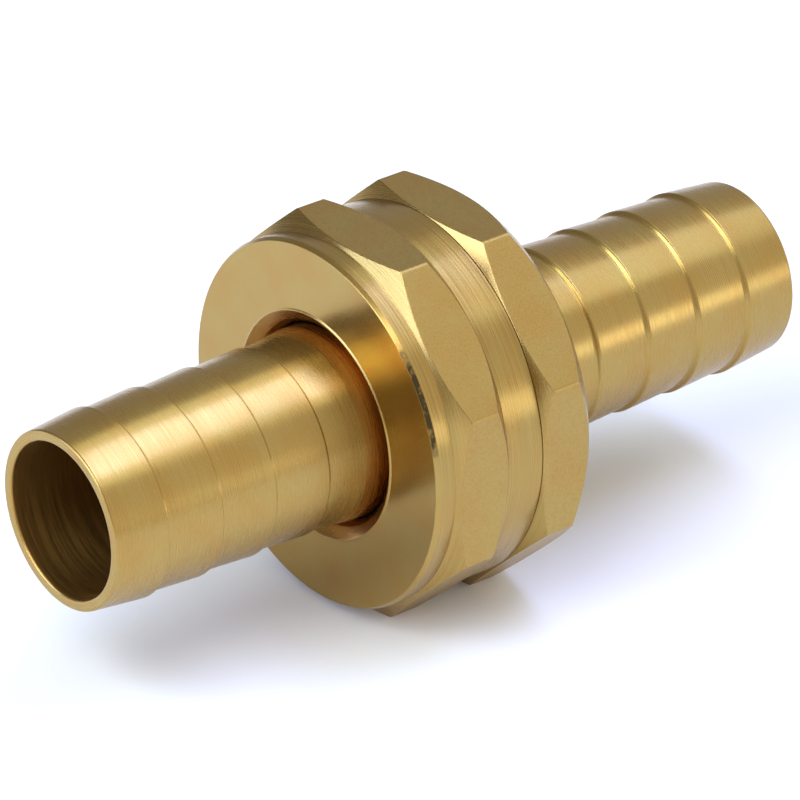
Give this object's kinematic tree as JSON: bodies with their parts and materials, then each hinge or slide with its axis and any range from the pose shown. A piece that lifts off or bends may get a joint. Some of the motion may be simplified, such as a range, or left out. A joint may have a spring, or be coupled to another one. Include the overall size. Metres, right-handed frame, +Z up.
{
  "type": "hose union fitting",
  "caption": "Brass hose union: two barbed tails that meet on a flat gasket and are drawn together by a loose octagonal nut on a parallel pipe thread.",
  "frame": {"origin": "middle of the waterway, halfway between the two mouths", "axes": "+X along the waterway from the swivel tail's mouth to the threaded tail's mouth, +Z up and square to an octagon flat"},
  "size_m": [0.09, 0.041, 0.041],
  "materials": {
    "tail_brass": "satin turned brass, flats lightly grained",
    "swivel_brass": "satin turned brass, fine rings from the lathe",
    "nut_brass": "satin turned brass, flats lightly grained",
    "gasket_rubber": "matt black sheet rubber"
  },
  "bodies": {
    "threaded_tail": {"threaded_hose_tail": "tail_brass"},
    "gasket": {"flat_gasket": "gasket_rubber"},
    "swivel_tail": {"swivel_hose_tail": "swivel_brass"},
    "nut": {"union_nut": "nut_brass"}
  },
  "joints": [
    {"name": "nut_turn", "type": "hinge", "parent": "gasket", "child": "nut", "pos_m": [0, 0, 0], "axis": [-1, 0, 0], "range_deg": [0, 900]},
    {"name": "union_slide", "type": "slide", "parent": "threaded_tail", "child": "gasket", "axis": [-1, 0, 0], "range_m": [0, 0.00577]},
    {"name": "tail_swivel", "type": "hinge", "parent": "gasket", "child": "swivel_tail", "pos_m": [0, 0, 0], "axis": [1, 0, 0], "continuous": true}
  ],
  "couplings": [
    {"joint": "union_slide", "follows": "nut_turn", "m_per_rad": 0.00036749}
  ]
}
